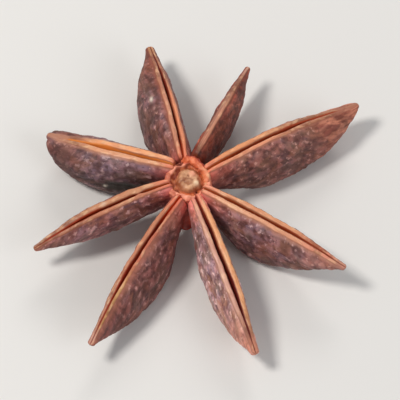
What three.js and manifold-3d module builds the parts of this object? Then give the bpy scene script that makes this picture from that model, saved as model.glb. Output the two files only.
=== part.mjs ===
// Star anise pod: eight boat-shaped carpels set round a short central column.
// Millimetres, +Z up along the pod's axis with the open seams on top, -Y to the
// front. The pod lies on the lowest points of its keels at z = 0, and the
// origin is the centre of its footprint box.
import * as THREE from "three";
import { mergeVertices } from "three/addons/utils/BufferGeometryUtils.js";
import Module from "manifold-3d";

// ---- driving dimensions (mm, degrees) --------------------------------------
const SEAM_Z = 7.0;        // height of the seams where they leave the centre
const INNER_R = 1.9;       // radius at which each carpel starts
const BASE_DEPTH = 4.0;    // depth of a carpel where it joins the column
const BASE_HALF = 0.95;    // half-width of a carpel where it joins the column
const TIP_NOSE = 0.3;      // length of the blunt nose of the beak
const LIP_STEP = 0.16;     // height of the lips' edge over the skin beside it
const SLIT_DEPTH = 0.7;    // depth of the seam between the lips
const COLUMN_R = 1.3;      // radius of the column's knob between the seams
const COLUMN_TOP = 0.28;   // how far the knob stands over the seams
const COLUMN_LUMP = 0.07;  // unevenness of the column's round, part of its radius
const CORE_R = 2.65;       // radius of the core that the carpels grow from
const WEB_ANGLE = 266;     // direction of the web in the widest front gap
const WEB_REACH = 2.0;     // how far the web stands out from the core low down
const WEB_SPREAD = 20;     // half-spread of the web round the core
const STALK_R = 1.15;      // radius of the stalk's stump below
const STALK_Z = 1.5;       // height of the stump's end over the ground
const WRINKLE = 0.07;      // depth of the dried skin's broad wrinkles
const FLAT = 0.07;         // how much of each lowest keel is worn flat
const STATIONS = 21;       // cross-sections along a carpel
const SIDE_STEPS = 6;      // steps down each side of a cross-section

// One row for each carpel, anticlockwise from the right:
// angle  direction of the carpel      length  radius of its beak's end
// shift  sideways offset of its foot  bend    sideways bend at its end
// bow    sideways bow at its middle
// rise, droop  the seam's height is SEAM_Z + rise * s + droop * s * s
// half   half-width of the belly      wide    where the belly is widest
// keel   height of the lowest point   belly   where the keel is lowest
// full   how long the keel stays low before it rises to the beak
// lean   how the body leans under its seam
// left, right  reach of the lips on either side of the seam, seen from the column
// beak   half-width of the beak just behind its end, and tip its depth
// blunt  how fast the body narrows to the beak: less than 1 is a blunt end
// stern  how far the end of the body swells out below the beak
// gap    width of the open seam       open    where the open seam ends
const CARPELS = [
  { angle: 32.5, length: 20.8, shift: -0.22, bend: -0.78, bow: -0.06, rise: 1.75, droop: -4.2, half: 1.95, wide: 0.56, keel: 0, belly: 0.5, full: 4.0, lean: -13, left: 0.92, right: 0.75, beak: 0.42, tip: 1.1, blunt: 0.6, stern: 1.2, gap: 0.42, open: 0.78 },
  { angle: 67.1, length: 17.4, shift: 0.47, bend: 0.05, bow: -0.13, rise: 1.45, droop: -4.1, half: 1.1, wide: 0.5, keel: 1.0, belly: 0.5, full: 2.2, lean: -5, left: 0.36, right: 0.36, beak: 0.34, tip: 0.62, blunt: 1.15, stern: 0, gap: 0.08, open: 0.6 },
  { angle: 101.4, length: 19.2, shift: 0.05, bend: 0.55, bow: -0.16, rise: 1.6, droop: -4.2, half: 1.95, wide: 0.55, keel: 0, belly: 0.5, full: 2.3, lean: 20, left: 0.74, right: 0.7, beak: 0.55, tip: 0.9, blunt: 1.15, stern: 0, gap: 0.28, open: 0.84 },
  { angle: 153.5, length: 16.2, shift: -0.85, bend: 0.3, bow: 0.6, rise: 1.65, droop: -4.6, half: 2.5, wide: 0.62, keel: 0, belly: 0.6, full: 7.0, lean: 8, left: 0.92, right: 1.0, beak: 0.45, tip: 1.2, blunt: 0.4, stern: 1.25, gap: 0.44, open: 0.84 },
  { angle: 200.8, length: 18.4, shift: -0.1, bend: 0.65, bow: 0.08, rise: 1.65, droop: -4.75, half: 1.5, wide: 0.5, keel: 2.0, belly: 0.5, full: 2.2, lean: -2, left: 0.65, right: 0.88, beak: 0.36, tip: 0.62, blunt: 1.15, stern: 0, gap: 0.3, open: 0.84 },
  { angle: 239.1, length: 21.9, shift: 0.53, bend: 0.7, bow: -0.22, rise: 1.5, droop: -4.5, half: 1.6, wide: 0.48, keel: 0, belly: 0.5, full: 1.8, lean: 17, left: 0.6, right: 0.76, beak: 0.44, tip: 0.62, blunt: 1.15, stern: 0, gap: 0.38, open: 0.8 },
  { angle: 291.7, length: 21.5, shift: -0.15, bend: -0.6, bow: -0.05, rise: 1.5, droop: -4.6, half: 1.5, wide: 0.55, keel: 0, belly: 0.53, full: 2.2, lean: -10, left: 0.9, right: 0.86, beak: 0.52, tip: 0.8, blunt: 1.15, stern: 0, gap: 0.4, open: 0.86 },
  { angle: 329.1, length: 20.0, shift: -0.25, bend: 0.15, bow: 0, rise: 1.7, droop: -3.75, half: 1.8, wide: 0.52, keel: 0, belly: 0.47, full: 1.3, lean: -9, left: 0.82, right: 0.86, beak: 0.4, tip: 0.62, blunt: 1.15, stern: 0, gap: 0.36, open: 0.78 },
];

// ---- shape of a carpel ------------------------------------------------------
const rad = THREE.MathUtils.degToRad;
const ramp = (a, b, t) => THREE.MathUtils.smoothstep(t, a, b);

// Height of the seam, and of the keel under it, at the fraction s of the length.
const seamHeight = (c, s) => SEAM_Z + c.rise * s + c.droop * s * s;

function keelHeight(c, s) {
  const foot = SEAM_Z - BASE_DEPTH;
  const end = seamHeight(c, 1) - c.tip;
  const low = c.keel - FLAT - c.sink;
  if (s < c.belly) return low + (foot - low) * Math.pow(1 - s / c.belly, 2);
  return low + (end - low) * Math.pow((s - c.belly) / (1 - c.belly), c.full);
}

// Half-width of the body: narrow at the column, widest near the middle, and
// drawn out to a slender beak.
function halfWidth(c, s) {
  if (s < c.wide) {
    const t = s / c.wide;
    return BASE_HALF + (c.half - BASE_HALF) * Math.pow(Math.sin((t * Math.PI) / 2), 0.9);
  }
  const t = (s - c.wide) / (1 - c.wide);
  return c.beak + (c.half - c.beak) * Math.pow(Math.abs(Math.cos((t * Math.PI) / 2)), c.blunt);
}

// Broad wrinkles that run up the sides from the keel, none on the lips.
function wrinkle(c, s, a) {
  const fade = Math.sin(Math.PI * Math.min(1, s * 1.05)) * Math.sin(a);
  return WRINKLE * fade * (Math.sin(19 * s + 2.1 * a + c.angle) + 0.6 * Math.sin(31 * s - 3.3 * a + 2 * c.angle));
}

// One side of a cross-section, from the slit's floor over the lip and down to
// the keel, as [sideways, down] with down measured from the seam.
function halfSection(c, s, hand) {
  const depth = seamHeight(c, s) - keelHeight(c, s);
  const half = halfWidth(c, s);
  const band = (hand > 0 ? c.left : c.right) * (0.7 + 0.3 * ramp(0, 0.3, s)) * (1 - 0.55 * ramp(0.6, 1, s));
  const lip = Math.min(band, half * 0.8);
  const openness = 1 - ramp(c.open - 0.3, c.open, s);
  const gap = 0.03 + (c.gap / 2 - 0.03) * openness * (0.55 + 0.45 * ramp(0, 0.22, s));
  const slit = Math.min(0.1 + (SLIT_DEPTH - 0.1) * Math.min(1, openness * 1.6), depth * 0.35);
  const points = [[0, slit], [gap, 0.02], [lip, 0.06]];
  const start = Math.asin(Math.min(0.98, lip / half));
  const first = (depth * (1 - Math.cos(start))) / 2;
  const step = Math.min(LIP_STEP, depth * 0.12);
  for (let i = 0; i <= SIDE_STEPS; i += 1) {
    const a = start + ((Math.PI - start) * i) / SIDE_STEPS;
    const side = i === SIDE_STEPS ? 0 : half * Math.pow(Math.sin(a), 0.92) + wrinkle(c, s, hand * a);
    const drop = (depth * (1 - Math.cos(a))) / 2;
    const down = step + (drop - first) * ((depth - step) / (depth - first));
    points.push([side, Math.max(down, 0.1)]);
  }
  return points.map((p) => [hand * p[0], p[1]]);
}

// Closed mesh of one carpel: cross-sections set along the seam's curve. A body
// that leans hangs less deep, so it is made twice: the first one shows how much
// further its keel has to sink to reach its height.
function carpelGeometry(row) {
  const trial = carpelMesh({ ...row, sink: 0 });
  trial.computeBoundingBox();
  return carpelMesh({ ...row, sink: trial.boundingBox.min.z - (row.keel - FLAT) });
}

function carpelMesh(c) {
  const along = new THREE.Vector2(Math.cos(rad(c.angle)), Math.sin(rad(c.angle)));
  const across = new THREE.Vector2(-along.y, along.x);
  const positions = [];
  const index = [];
  const place = (s, sideways, down, extra = 0) => {
    const lean = rad(c.lean) * ramp(0.05, 0.4, s) * (1 - 0.6 * ramp(0.8, 1, s));
    const below = Math.min(1, down / (seamHeight(c, s) - keelHeight(c, s)));
    const swell = c.stern * ramp(0.6, 1, s) * Math.pow(Math.sin(Math.PI * Math.pow(below, 0.85)), 1.3);
    const out = INNER_R + (c.length - TIP_NOSE - INNER_R) * s + swell + extra;
    const line = c.shift * (1 - s) + c.bend * s * s + c.bow * Math.sin(Math.PI * s);
    const side = line + sideways * Math.cos(lean) + down * Math.sin(lean);
    const z = seamHeight(c, s) - down * Math.cos(lean) + sideways * Math.sin(lean);
    positions.push(along.x * out + across.x * side, along.y * out + across.y * side, z);
  };
  let ring = 0;
  for (let i = 0; i < STATIONS; i += 1) {
    const t = i / (STATIONS - 1);
    const s = t - 0.03 * Math.sin(2 * Math.PI * t);
    const one = halfSection(c, s, 1);
    const other = halfSection(c, s, -1);
    const section = one.concat(other.slice(1, -1).reverse());
    ring = section.length;
    for (const p of section) place(s, p[0], p[1]);
  }
  for (let i = 0; i + 1 < STATIONS; i += 1) {
    for (let k = 0; k < ring; k += 1) {
      const a = i * ring + k;
      const b = i * ring + ((k + 1) % ring);
      index.push(a, a + ring, b, b, a + ring, b + ring);
    }
  }
  const foot = positions.length / 3;
  place(0, 0, BASE_DEPTH * 0.5);
  const nose = positions.length / 3;
  place(1, 0, c.tip * 0.4, TIP_NOSE);
  const last = (STATIONS - 1) * ring;
  for (let k = 0; k < ring; k += 1) {
    const n = (k + 1) % ring;
    index.push(foot, k, n);
    index.push(nose, last + n, last + k);
  }
  const geometry = new THREE.BufferGeometry();
  geometry.setAttribute("position", new THREE.Float32BufferAttribute(positions, 3));
  geometry.setIndex(index);
  return geometry;
}

// Core, knob and stump of the stalk: turned about the pod's axis, then made
// a little uneven round that axis. The core reaches out in a web between the
// two front carpels.
function columnGeometry() {
  const z = SEAM_Z;
  const profile = [
    [0, STALK_Z], [STALK_R, STALK_Z], [STALK_R * 1.08, STALK_Z + 0.8],
    [CORE_R * 0.8, z - BASE_DEPTH - 0.2], [CORE_R, z - BASE_DEPTH + 0.4],
    [CORE_R, z - 1.7], [2.1, z - 1.1], [COLUMN_R + 0.12, z - 1.0],
    [COLUMN_R, z - 0.35], [COLUMN_R * 0.86, z + 0.08],
    [COLUMN_R * 0.5, z + COLUMN_TOP], [0, z + COLUMN_TOP * 0.7],
  ];
  const turned = new THREE.LatheGeometry(profile.map((p) => new THREE.Vector2(p[0], p[1])), 24);
  turned.rotateX(Math.PI / 2);
  const position = turned.attributes.position;
  for (let i = 0; i < position.count; i += 1) {
    const round = Math.atan2(position.getY(i), position.getX(i));
    const swell = 1 + COLUMN_LUMP * (Math.sin(3 * round + 0.8) * 0.6 + Math.sin(5 * round + 2.0) * 0.4);
    const away = Math.abs(((THREE.MathUtils.radToDeg(round) - WEB_ANGLE + 540) % 360) - 180);
    const low = (1 - ramp(3.2, 5.9, position.getZ(i))) * ramp(1.9, 2.6, position.getZ(i));
    const reach = Math.hypot(position.getX(i), position.getY(i));
    const web = reach > 1.5 ? (WEB_REACH * low * (1 - ramp(0, 2 * WEB_SPREAD, away))) / reach : 0;
    position.setX(i, position.getX(i) * (swell + web));
    position.setY(i, position.getY(i) * (swell + web));
  }
  return turned;
}

// ---- joining ----------------------------------------------------------------
const wasm = await Module();
wasm.setup();

function solid(geometry) {
  const bare = geometry.clone();
  bare.deleteAttribute("normal");
  bare.deleteAttribute("uv");
  const merged = mergeVertices(bare, 1e-4);
  const corners = merged.index.array;
  const kept = [];
  for (let i = 0; i < corners.length; i += 3) {
    const [a, b, c] = [corners[i], corners[i + 1], corners[i + 2]];
    if (a !== b && b !== c && c !== a) kept.push(a, b, c);
  }
  return new wasm.Manifold(new wasm.Mesh({
    numProp: 3,
    vertProperties: new Float32Array(merged.attributes.position.array),
    triVerts: new Uint32Array(kept),
  }));
}

let pod = solid(columnGeometry());
for (const c of CARPELS) pod = pod.add(solid(carpelGeometry(c)));

// The ground side: the lowest keels are worn flat at z = 0.
const ground = new THREE.BoxGeometry(60, 60, 4);
ground.translate(0, 0, -2);
pod = pod.subtract(solid(ground));

const mesh = pod.getMesh();
const geometry = new THREE.BufferGeometry();
geometry.setAttribute("position", new THREE.Float32BufferAttribute(mesh.vertProperties, 3));
geometry.setIndex(Array.from(mesh.triVerts));
geometry.computeBoundingBox();
const middle = geometry.boundingBox.getCenter(new THREE.Vector3());
geometry.translate(-middle.x, -middle.y, -geometry.boundingBox.min.z);
geometry.computeVertexNormals();

// ---- the part ---------------------------------------------------------------
const skin = new THREE.MeshStandardMaterial({ color: 0x6e4f42, roughness: 0.72, metalness: 0 });
const podMesh = new THREE.Mesh(geometry, skin);
podMesh.name = "star_anise_pod";

const group = new THREE.Group();
group.add(podMesh);

export default group;
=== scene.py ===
"""Looks of the star anise pod: eight dried carpels round a knobby column."""
import math

import bpy
import numpy as np
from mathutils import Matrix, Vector


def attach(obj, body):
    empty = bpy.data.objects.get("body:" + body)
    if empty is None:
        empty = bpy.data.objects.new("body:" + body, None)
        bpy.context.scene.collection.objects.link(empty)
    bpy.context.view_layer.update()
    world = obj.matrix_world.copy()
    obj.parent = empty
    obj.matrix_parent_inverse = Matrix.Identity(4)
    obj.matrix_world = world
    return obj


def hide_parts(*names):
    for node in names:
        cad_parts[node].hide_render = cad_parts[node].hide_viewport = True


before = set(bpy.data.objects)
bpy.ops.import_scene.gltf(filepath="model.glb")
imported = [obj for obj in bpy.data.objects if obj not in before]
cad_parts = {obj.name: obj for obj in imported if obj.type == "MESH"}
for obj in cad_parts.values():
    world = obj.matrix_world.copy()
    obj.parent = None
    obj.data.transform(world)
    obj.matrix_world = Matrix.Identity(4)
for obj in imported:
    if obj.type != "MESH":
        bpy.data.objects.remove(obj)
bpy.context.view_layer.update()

MM = 0.001

# ---- sizes shared with the solid model (millimetres, degrees) ---------------
AXIS_X, AXIS_Y = -1.0065, 0.7519  # the pod's axis in the frame
SEAM_Z = 7.0
INNER_R = 1.9
BASE_DEPTH = 4.0
BASE_HALF = 0.95
TIP_NOSE = 0.3
SLIT_DEPTH = 0.7
FLAT = 0.07
STALK_Z = 1.5
CORE_R = 2.65
WEB_ANGLE = 266.0
WEB_REACH = 2.0
WEB_SPREAD = 20.0

# One row for each carpel, anticlockwise from the right: the solid model's shape.
# left and right are the lips' reach on either side of the seam, seen from the
# column; the left-hand side is the anticlockwise one.
SHAPES = [
    dict(angle=32.5, length=20.8, shift=-0.22, bend=-0.78, bow=-0.06, rise=1.75, droop=-4.2, half=1.95, wide=0.56, keel=0, belly=0.5, full=4.0, lean=-13, left=0.92, right=0.75, beak=0.42, tip=1.1, blunt=0.6, stern=1.2, gap=0.42, open=0.78),
    dict(angle=67.1, length=17.4, shift=0.47, bend=0.05, bow=-0.13, rise=1.45, droop=-4.1, half=1.1, wide=0.5, keel=1.0, belly=0.5, full=2.2, lean=-5, left=0.36, right=0.36, beak=0.34, tip=0.62, blunt=1.15, stern=0, gap=0.08, open=0.6),
    dict(angle=101.4, length=19.2, shift=0.05, bend=0.55, bow=-0.16, rise=1.6, droop=-4.2, half=1.95, wide=0.55, keel=0, belly=0.5, full=2.3, lean=20, left=0.74, right=0.7, beak=0.55, tip=0.9, blunt=1.15, stern=0, gap=0.28, open=0.84),
    dict(angle=153.5, length=16.2, shift=-0.85, bend=0.3, bow=0.6, rise=1.65, droop=-4.6, half=2.5, wide=0.62, keel=0, belly=0.6, full=7.0, lean=8, left=0.92, right=1.0, beak=0.45, tip=1.2, blunt=0.4, stern=1.25, gap=0.44, open=0.84),
    dict(angle=200.8, length=18.4, shift=-0.1, bend=0.65, bow=0.08, rise=1.65, droop=-4.75, half=1.5, wide=0.5, keel=2.0, belly=0.5, full=2.2, lean=-2, left=0.65, right=0.88, beak=0.36, tip=0.62, blunt=1.15, stern=0, gap=0.3, open=0.84),
    dict(angle=239.1, length=21.9, shift=0.53, bend=0.7, bow=-0.22, rise=1.5, droop=-4.5, half=1.6, wide=0.48, keel=0, belly=0.5, full=1.8, lean=17, left=0.6, right=0.76, beak=0.44, tip=0.62, blunt=1.15, stern=0, gap=0.38, open=0.8),
    dict(angle=291.7, length=21.5, shift=-0.15, bend=-0.6, bow=-0.05, rise=1.5, droop=-4.6, half=1.5, wide=0.55, keel=0, belly=0.53, full=2.2, lean=-10, left=0.9, right=0.86, beak=0.52, tip=0.8, blunt=1.15, stern=0, gap=0.4, open=0.86),
    dict(angle=329.1, length=20.0, shift=-0.25, bend=0.15, bow=0, rise=1.7, droop=-3.75, half=1.8, wide=0.52, keel=0, belly=0.47, full=1.3, lean=-9, left=0.82, right=0.86, beak=0.4, tip=0.62, blunt=1.15, stern=0, gap=0.36, open=0.78),
]

# Their looks, in the same order:
#   foot     radii at which the left and the right lip end over the moat
#   bridge   how far a strand of skin spans the slit near the foot
#   gray     how far the skin goes from pinkish brown to mauve grey
#   tint     the skin's own warmth, red, green and blue
#   pink_in, pink_out  how pink the skin turns by the foot and by the beak
#   blush    width of the soft edge between the lips and the skin, mm
#   lip_end  where the lips turn dull towards the beak
#   slit_far colour of the slit away from the foot
#   end      the skin's warmth towards the beak
#   flank    how much painted shade darkens the skin low on its flanks
#   lip_l, lip_r, slit, blush_c, foot_c, beak_c  colours, 0 to 255
LOOKS = [
    dict(name="carpel_east", foot=(2.45, 2.4), bridge=0.0, gray=0.35, tint=(0.90, 0.58, 0.54), pink_in=0.5, pink_out=0.0, blush=0.3, lip_end=0.54, lip_l=(236, 158, 108), lip_r=(238, 156, 118), slit=(196, 90, 32), blush_c=(176, 112, 90), foot_c=(246, 140, 108), beak_c=(150, 84, 58), slit_far=(160, 56, 8), end=(1.08, 0.98, 0.88), flank=0.5),
    dict(name="carpel_northeast", foot=(3.3, 3.3), bridge=0.0, gray=0.1, tint=(0.86, 0.37, 0.29), pink_in=0.0, pink_out=0.3, blush=0.3, lip_end=0.62, lip_l=(172, 116, 94), lip_r=(206, 142, 114), slit=(166, 110, 90), blush_c=(116, 60, 46), foot_c=(108, 46, 32), beak_c=(206, 152, 132), slit_far=(160, 104, 80), end=(1.05, 0.85, 0.65), flank=0.3),
    dict(name="carpel_north", foot=(3.0, 2.7), bridge=0.0, gray=0.55, tint=(0.83, 0.58, 0.58), pink_in=0.6, pink_out=0.5, blush=0.6, lip_end=0.62, lip_l=(212, 143, 112), lip_r=(236, 148, 106), slit=(184, 58, 10), blush_c=(146, 74, 54), foot_c=(250, 136, 104), beak_c=(196, 138, 96), slit_far=(116, 26, 0), end=(0.88, 0.72, 0.6), flank=0.6),
    dict(name="carpel_northwest", foot=(2.3, 2.6), bridge=0.0, gray=0.85, tint=(0.68, 0.55, 0.61), pink_in=0.6, pink_out=0.25, blush=0.4, lip_end=0.76, lip_l=(232, 164, 124), lip_r=(248, 170, 118), slit=(226, 138, 66), blush_c=(192, 134, 110), foot_c=(250, 146, 114), beak_c=(176, 116, 78), slit_far=(218, 128, 52), end=(0.86, 0.66, 0.54), flank=0.9),
    dict(name="carpel_west", foot=(2.2, 2.35), bridge=1.0, gray=0.7, tint=(1.08, 0.74, 0.78), pink_in=0.3, pink_out=0.3, blush=0.2, lip_end=0.62, lip_l=(204, 132, 100), lip_r=(208, 144, 106), slit=(194, 90, 28), blush_c=(160, 100, 82), foot_c=(246, 136, 104), beak_c=(140, 84, 58), slit_far=(156, 46, 2), end=(1.0, 1.0, 0.9), flank=0.4),
    dict(name="carpel_southwest", foot=(2.75, 2.45), bridge=0.0, gray=0.4, tint=(0.78, 0.49, 0.49), pink_in=0.9, pink_out=0.5, blush=0.9, lip_end=0.6, lip_l=(204, 114, 86), lip_r=(206, 134, 100), slit=(214, 70, 4), blush_c=(176, 106, 84), foot_c=(252, 136, 106), beak_c=(214, 158, 138), slit_far=(150, 38, 0), end=(0.84, 0.8, 0.76), flank=0.5),
    dict(name="carpel_south", foot=(2.4, 2.75), bridge=0.0, gray=0.8, tint=(1.44, 1.23, 1.30), pink_in=1.0, pink_out=0.9, blush=0.25, lip_end=0.8, lip_l=(244, 172, 120), lip_r=(226, 170, 150), slit=(140, 28, 0), blush_c=(200, 150, 136), foot_c=(248, 144, 118), beak_c=(206, 130, 106), slit_far=(104, 12, 0), end=(1.1, 1.08, 0.92), flank=0.0),
    dict(name="carpel_southeast", foot=(2.15, 2.4), bridge=0.35, gray=0.5, tint=(0.98, 0.77, 0.83), pink_in=0.4, pink_out=0.6, blush=0.5, lip_end=0.72, lip_l=(232, 158, 114), lip_r=(236, 168, 130), slit=(172, 70, 16), blush_c=(190, 132, 110), foot_c=(250, 156, 124), beak_c=(200, 142, 124), slit_far=(144, 50, 2), end=(1.14, 1.1, 1.0), flank=0.7),
]
CARPELS = [{**shape, **looks} for shape, looks in zip(SHAPES, LOOKS)]

# ---- smooth noise -----------------------------------------------------------
_rng = np.random.RandomState(11)
_perm = _rng.permutation(256)
_perm = np.concatenate([_perm, _perm, _perm])
_grad = _rng.normal(size=(256, 3))
_grad /= np.linalg.norm(_grad, axis=1, keepdims=True)


def noise(x, y, z):
    """Gradient noise, about -1 to 1."""
    x, y, z = np.broadcast_arrays(np.asarray(x, float), np.asarray(y, float), np.asarray(z, float))
    xi, yi, zi = (np.floor(v).astype(int) for v in (x, y, z))
    xf, yf, zf = x - xi, y - yi, z - zi
    u, v, w = (t * t * t * (t * (t * 6 - 15) + 10) for t in (xf, yf, zf))

    def corner(i, j, k):
        h = _perm[(_perm[(_perm[(xi + i) & 255] + yi + j) & 255] + zi + k) & 255]
        g = _grad[h]
        return g[..., 0] * (xf - i) + g[..., 1] * (yf - j) + g[..., 2] * (zf - k)

    def mix(a, b, t):
        return a + (b - a) * t

    x00 = mix(corner(0, 0, 0), corner(1, 0, 0), u)
    x10 = mix(corner(0, 1, 0), corner(1, 1, 0), u)
    x01 = mix(corner(0, 0, 1), corner(1, 0, 1), u)
    x11 = mix(corner(0, 1, 1), corner(1, 1, 1), u)
    return 1.6 * mix(mix(x00, x10, v), mix(x01, x11, v), w)


def fbm(x, y, z, octaves=3):
    total, size, scale = 0.0, 1.0, 1.0
    for i in range(octaves):
        total = total + size * noise(x * scale + 17.3 * i, y * scale, z * scale)
        size *= 0.5
        scale *= 2.1
    return total


def folds(x, y, z, soft=0.10):
    """Soft valleys between rounded folds: 0 in a valley, about 0.6 on a fold."""
    return np.sqrt(noise(x, y, z) ** 2 + soft * soft) - soft


def ramp(a, b, t):
    t = np.clip((np.asarray(t, float) - a) / (b - a), 0, 1)
    return t * t * (3 - 2 * t)


def bump_at(t, at, width):
    return np.exp(-(((t - at) / width) ** 2))


# ---- carpels ----------------------------------------------------------------
def seam_height(c, s):
    return SEAM_Z + c["rise"] * s + c["droop"] * s * s


def keel_height(c, s, sink):
    foot = SEAM_Z - BASE_DEPTH
    end = seam_height(c, 1) - c["tip"]
    low = c["keel"] - FLAT - sink
    b = c["belly"]
    inner = low + (foot - low) * np.abs(1 - s / b) ** 2
    outer = low + (end - low) * (np.clip(s - b, 0, 1) / (1 - b)) ** c["full"]
    return np.where(s < b, inner, outer)


def half_width(c, s):
    w = c["wide"]
    inner = BASE_HALF + (c["half"] - BASE_HALF) * np.sin(np.clip(s / w, 0, 1) * np.pi / 2) ** 0.9
    outer = c["beak"] + (c["half"] - c["beak"]) * np.abs(np.cos(np.clip((s - w) / (1 - w), 0, 1) * np.pi / 2)) ** c["blunt"]
    return np.where(s < w, inner, outer)


FOOT_ROWS, FOOT_REACH = 8, 0.017
N_SLIT, N_BEAD, N_SIDE = ((6, 14, 60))


def carpel_grid(c, number, sink, stations, rough=True):
    """Positions of a carpel as a grid of stations by points round it, and the
    fields that the skin's colours use."""
    t = np.linspace(0, 1, stations)
    s = t - 0.03 * np.sin(2 * np.pi * t)
    if rough:  # the foot reaches over the pit round the knob
        f = np.linspace(1, 0, FOOT_ROWS, endpoint=False)
        s = np.concatenate([-FOOT_REACH * f, s])
    stations = len(s)
    seed = 13.7 * number
    along = INNER_R + (c["length"] - TIP_NOSE - INNER_R) * s
    # the feet curl over into the moat
    ends = [np.clip((f + 0.22 - along) / 0.62, 0, 1) if rough else np.zeros_like(s) for f in c["foot"]]
    depth = seam_height(c, s) - keel_height(c, s, sink)
    half = half_width(c, s)
    if rough:
        half = half * (1 + 0.025 * noise(s * 5, seed, 0.5) * np.sin(np.pi * np.clip(s, 0, 1)))
    openness = 1 - ramp(c["open"] - 0.3, c["open"], s)
    openness = openness * (1 - c["bridge"] * bump_at(s, 0.24 if c["bridge"] > 0.5 else 0.15, 0.03))
    inset = 0.55 + 0.45 * ramp(0, 0.22, s)
    gap = 0.03 + (c["gap"] / 2 - 0.03) * openness * inset
    slit = np.minimum(0.1 + (SLIT_DEPTH - 0.1) * np.minimum(1, openness * 1.6), depth * 0.35)
    if rough:  # shallow by the foot, and closed where the seam never split
        slit = slit * (0.45 + 0.55 * ramp(0.04, 0.30, s))
    closed = 1.0 if rough and c["gap"] < 0.1 else (ramp(0.86, 0.98, s) if rough and c["stern"] > 0 else np.zeros_like(s))
    slit = slit * (1 - closed) + 0.02 * closed

    sides = []
    for hand in (1, -1):
        b = (c["left"] if hand > 0 else c["right"]) * (0.7 + 0.3 * ramp(0, 0.3, s)) * (1 - 0.55 * ramp(0.6, 1, s))
        g = gap.copy()
        if rough:
            b = b * (1 + 0.10 * noise(along * 0.55, seed + hand * 3.1, 1.5) + 0.07 * noise(along * 1.9, seed + hand * 5.3, 2.5))
            b = b * (1 - 0.30 * ends[0 if hand > 0 else 1] ** 2)
            g = g * (1 + 0.25 * noise(along * 0.5, seed + hand * 7.7, 3.5) + 0.15 * noise(along * 2.2, seed + hand * 2.9, 4.5))
        lip = np.minimum(b, half * 0.8)
        g = np.minimum(g, lip * 0.55)
        start = np.arcsin(np.minimum(0.98, lip / half))
        xs, ds, zone = [], [], []
        for i in range(N_SLIT):  # slit floor and wall, an open V
            q = i / N_SLIT
            xs.append(g * q ** 0.9)
            ds.append((slit * (1 - q ** 1.25) + 0.1 * q ** 1.25) * (1 - closed) + 0.1 * closed)
            zone.append(-1 + q)
        swell = noise(along * 0.8, seed + hand * 9.1, 6.5) if rough else 0
        crest = 0.20 * (0.9 + 0.35 * swell) * (1 - 0.35 * ramp(0.75, 1, s)) * np.minimum(1, (lip - g) / 0.45)
        for i in range(N_SLIT):
            ds[i] = ds[i] - crest * closed
        for i in range(N_BEAD):  # rounded lip
            q = i / (N_BEAD - 1)
            xs.append(g + (lip - g) * q)
            rise = (1 - closed) * np.sin(np.pi * q) ** 0.85 + closed * np.cos(np.pi / 2 * q) ** 0.9
            ds.append(0.1 * (1 - q) + 0.13 * q - crest * rise)
            zone.append(q)
        first = depth * (1 - np.cos(start)) / 2
        step = np.minimum(0.18, depth * 0.12)
        for i in range(1, N_SIDE + 1):
            q = i / N_SIDE
            a = start + (np.pi - start) * q
            x = half * np.abs(np.sin(a)) ** 0.92 if i < N_SIDE else np.zeros_like(s)
            # the skin tucks in a little just under the lip
            x = x - 0.05 * np.exp(-((q - 0.03) / 0.03) ** 2) * np.minimum(1, half)
            drop = depth * (1 - np.cos(a)) / 2
            ds.append(np.maximum(step + (drop - first) * ((depth - step) / (depth - first)), 0.14))
            xs.append(np.maximum(x, 0) if i < N_SIDE else x)
            zone.append(1 + q)
        sides.append((np.array(xs).T * hand, np.array(ds).T, np.array(zone)))

    xa, da, za = sides[0]
    xb, db, zb = sides[1]
    x = np.concatenate([xa, xb[:, 1:-1][:, ::-1]], axis=1)
    d = np.concatenate([da, db[:, 1:-1][:, ::-1]], axis=1)
    zone = np.concatenate([za, zb[1:-1][::-1]])
    hand = np.concatenate([np.ones(len(za)), -np.ones(len(zb) - 2)])

    lean = np.radians(c["lean"]) * ramp(0.05, 0.4, s) * (1 - 0.6 * ramp(0.8, 1, s))
    line = c["shift"] * (1 - s) + c["bend"] * s * s + c["bow"] * np.sin(np.pi * s)
    if rough:
        line = line + 0.05 * noise(along * 0.35, seed, 8.5) * np.sin(np.pi * np.clip(s, 0, 1))
    S, L = s[:, None], lean[:, None]
    side = line[:, None] + x * np.cos(L) + d * np.sin(L)
    z = seam_height(c, S) - d * np.cos(L) + x * np.sin(L)
    a = math.radians(c["angle"])
    ca, sa = math.cos(a), math.sin(a)
    below = np.clip(d / depth[:, None], 0, 1)
    out = along[:, None] + c["stern"] * ramp(0.6, 1, S) * np.sin(np.pi * below ** 0.85) ** 1.3
    to_left = 0.5 + 0.5 * np.clip(x / 0.2, -1, 1)
    curled = ends[0][:, None] * to_left + ends[1][:, None] * (1 - to_left)
    z = z - 0.80 * (1 - np.sqrt(1 - 0.999 * curled ** 2)) * (1 - ramp(1.0, 2.5, d))
    P = np.stack([ca * out - sa * side, sa * out + ca * side, z], axis=-1)
    # arc length round the section, from the seam
    step_len = np.linalg.norm(np.diff(P[:, : len(za)], axis=1), axis=2)
    arc_a = np.concatenate([np.zeros((stations, 1)), np.cumsum(step_len, axis=1)], axis=1)
    back = P[:, len(za) - 1 :]
    back = np.concatenate([back, P[:, :1]], axis=1)
    step_b = np.linalg.norm(np.diff(back, axis=1), axis=2)
    arc_b = np.cumsum(step_b[:, ::-1], axis=1)[:, ::-1][:, 1:]
    arc = np.concatenate([arc_a, arc_b], axis=1)
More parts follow.
